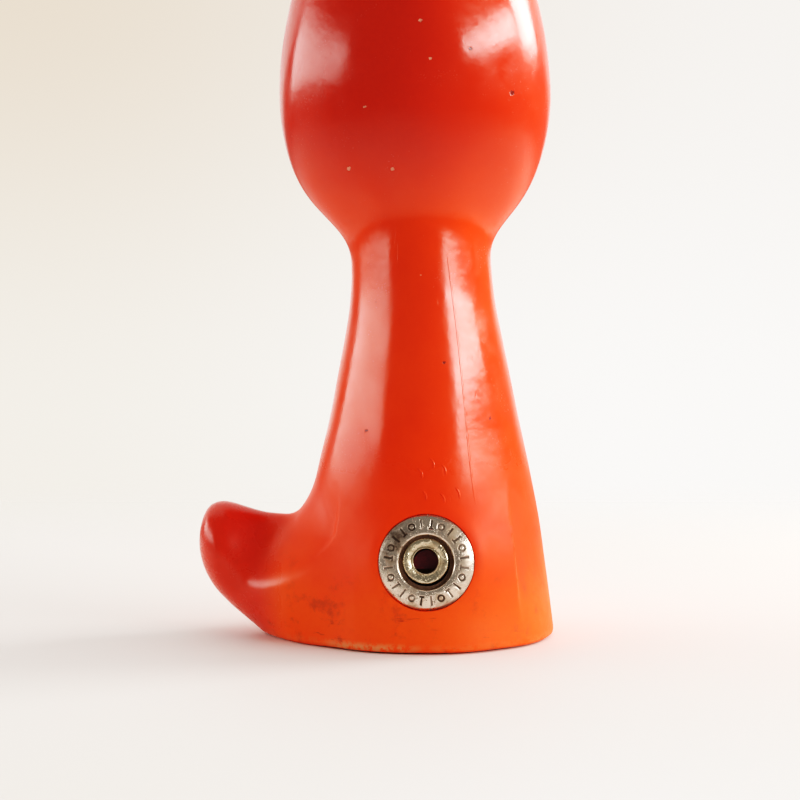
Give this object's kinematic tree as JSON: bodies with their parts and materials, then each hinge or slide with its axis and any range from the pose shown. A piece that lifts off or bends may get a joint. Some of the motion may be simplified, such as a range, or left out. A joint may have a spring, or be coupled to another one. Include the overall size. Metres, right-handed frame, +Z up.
{
  "type": "squeeze toy bird",
  "caption": "Hollow moulded rubber bird on a flat base, with an upturned tail, narrow neck and egg-shaped head, and a metal reed whistle in its flank that squeaks when squeezed.",
  "frame": {"origin": "centre of the flat base, on the surface that the toy stands on", "axes": "+Z up; the beak points along +X and the tail along -X; the whistle's mouth faces -Y"},
  "size_m": [0.0848, 0.0563, 0.1676],
  "materials": {
    "red_rubber": "gloss",
    "plated_steel": "worn plating",
    "brown_fibre": "matte",
    "brass_turning": "tarnished",
    "dark_red_plastic": "gloss",
    "reed_bronze": "satin",
    "wedge_wood": "matte",
    "cap_steel": "satin"
  },
  "bodies": {
    "toy": {"toy_body": "red_rubber", "whistle_cup": "plated_steel", "packing_ring": "brown_fibre", "nozzle_ring": "brass_turning", "reed_block": "dark_red_plastic", "reed_wedge": "wedge_wood", "back_cap": "cap_steel"},
    "reed": {"reed_tongue": "reed_bronze"}
  },
  "joints": [
    {"name": "reed_flex", "type": "hinge", "parent": "toy", "child": "reed", "pos_m": [0.0007, -0.02052, 0.01773], "axis": [-1, 0, 0], "range_deg": [-3.4, 5], "stiffness_Nm_per_rad": 0.03}
  ]
}
